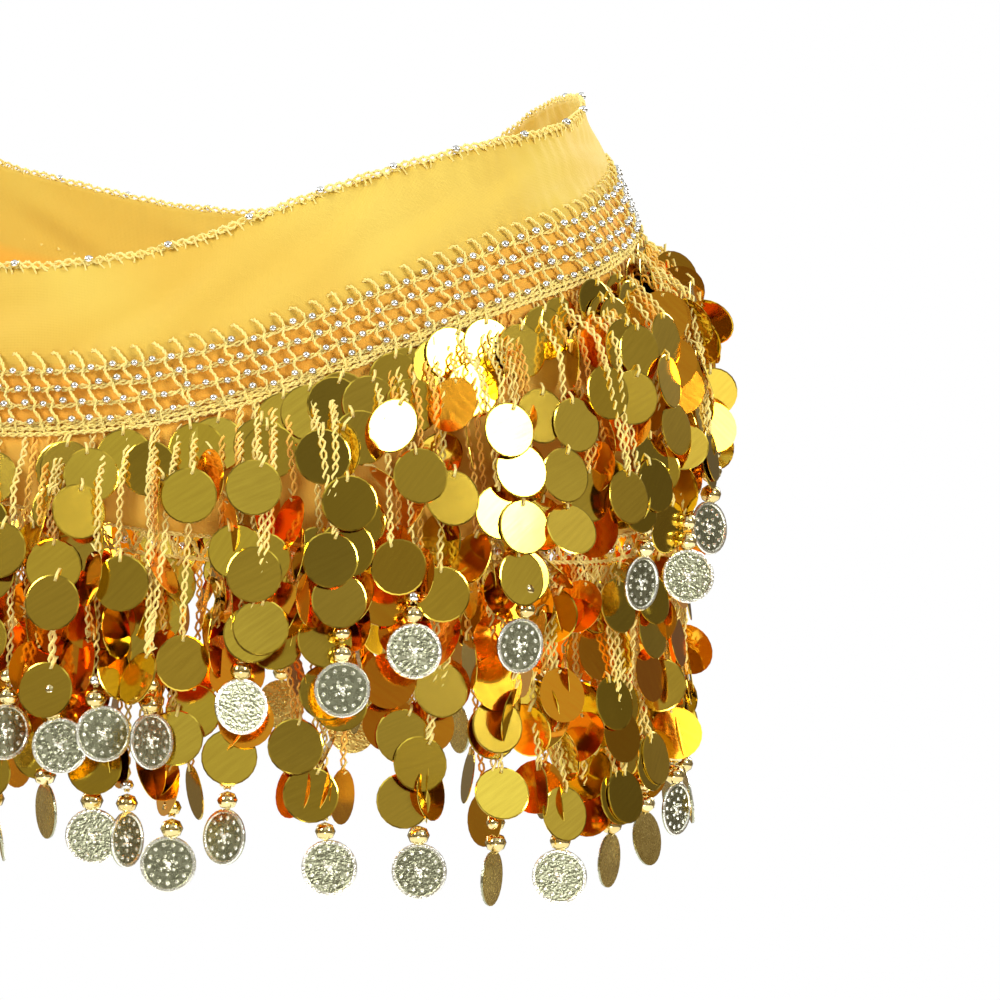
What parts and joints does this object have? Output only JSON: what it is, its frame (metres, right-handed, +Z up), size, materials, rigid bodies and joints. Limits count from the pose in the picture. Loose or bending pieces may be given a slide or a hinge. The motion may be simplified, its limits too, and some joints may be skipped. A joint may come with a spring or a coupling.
{
  "type": "belly dance hip scarf",
  "caption": "Worn chiffon hip scarf tied at one hip, with a beaded crochet grid and two tiers of gold paillette and coin fringe.",
  "frame": {"origin": "on the axis of the wearer's hips, level with the scarf's top edge at the front centre", "axes": "+Z up; the wearer faces -Y, so their left hip, where the scarf is deepest, is at +X and the knot is at -X"},
  "size_m": [0.3947, 0.2962, 0.2724],
  "materials": {
    "yellow_chiffon": "matte",
    "crochet_yarn": "matte",
    "silver_beads": "gloss",
    "gold_paillettes": "gloss",
    "pale_gold_coins": "satin"
  },
  "bodies": {
    "root": {"cloth_panel": "yellow_chiffon", "top_edge_trim": "crochet_yarn", "bead_grid_band": "silver_beads", "lower_edge_trim": "crochet_yarn", "fringe_upper": "gold_paillettes", "fringe_lower": "gold_paillettes", "knot": "yellow_chiffon", "tie_tail_front": "yellow_chiffon", "tie_tail_back": "yellow_chiffon"}
  },
  "joints": []
}
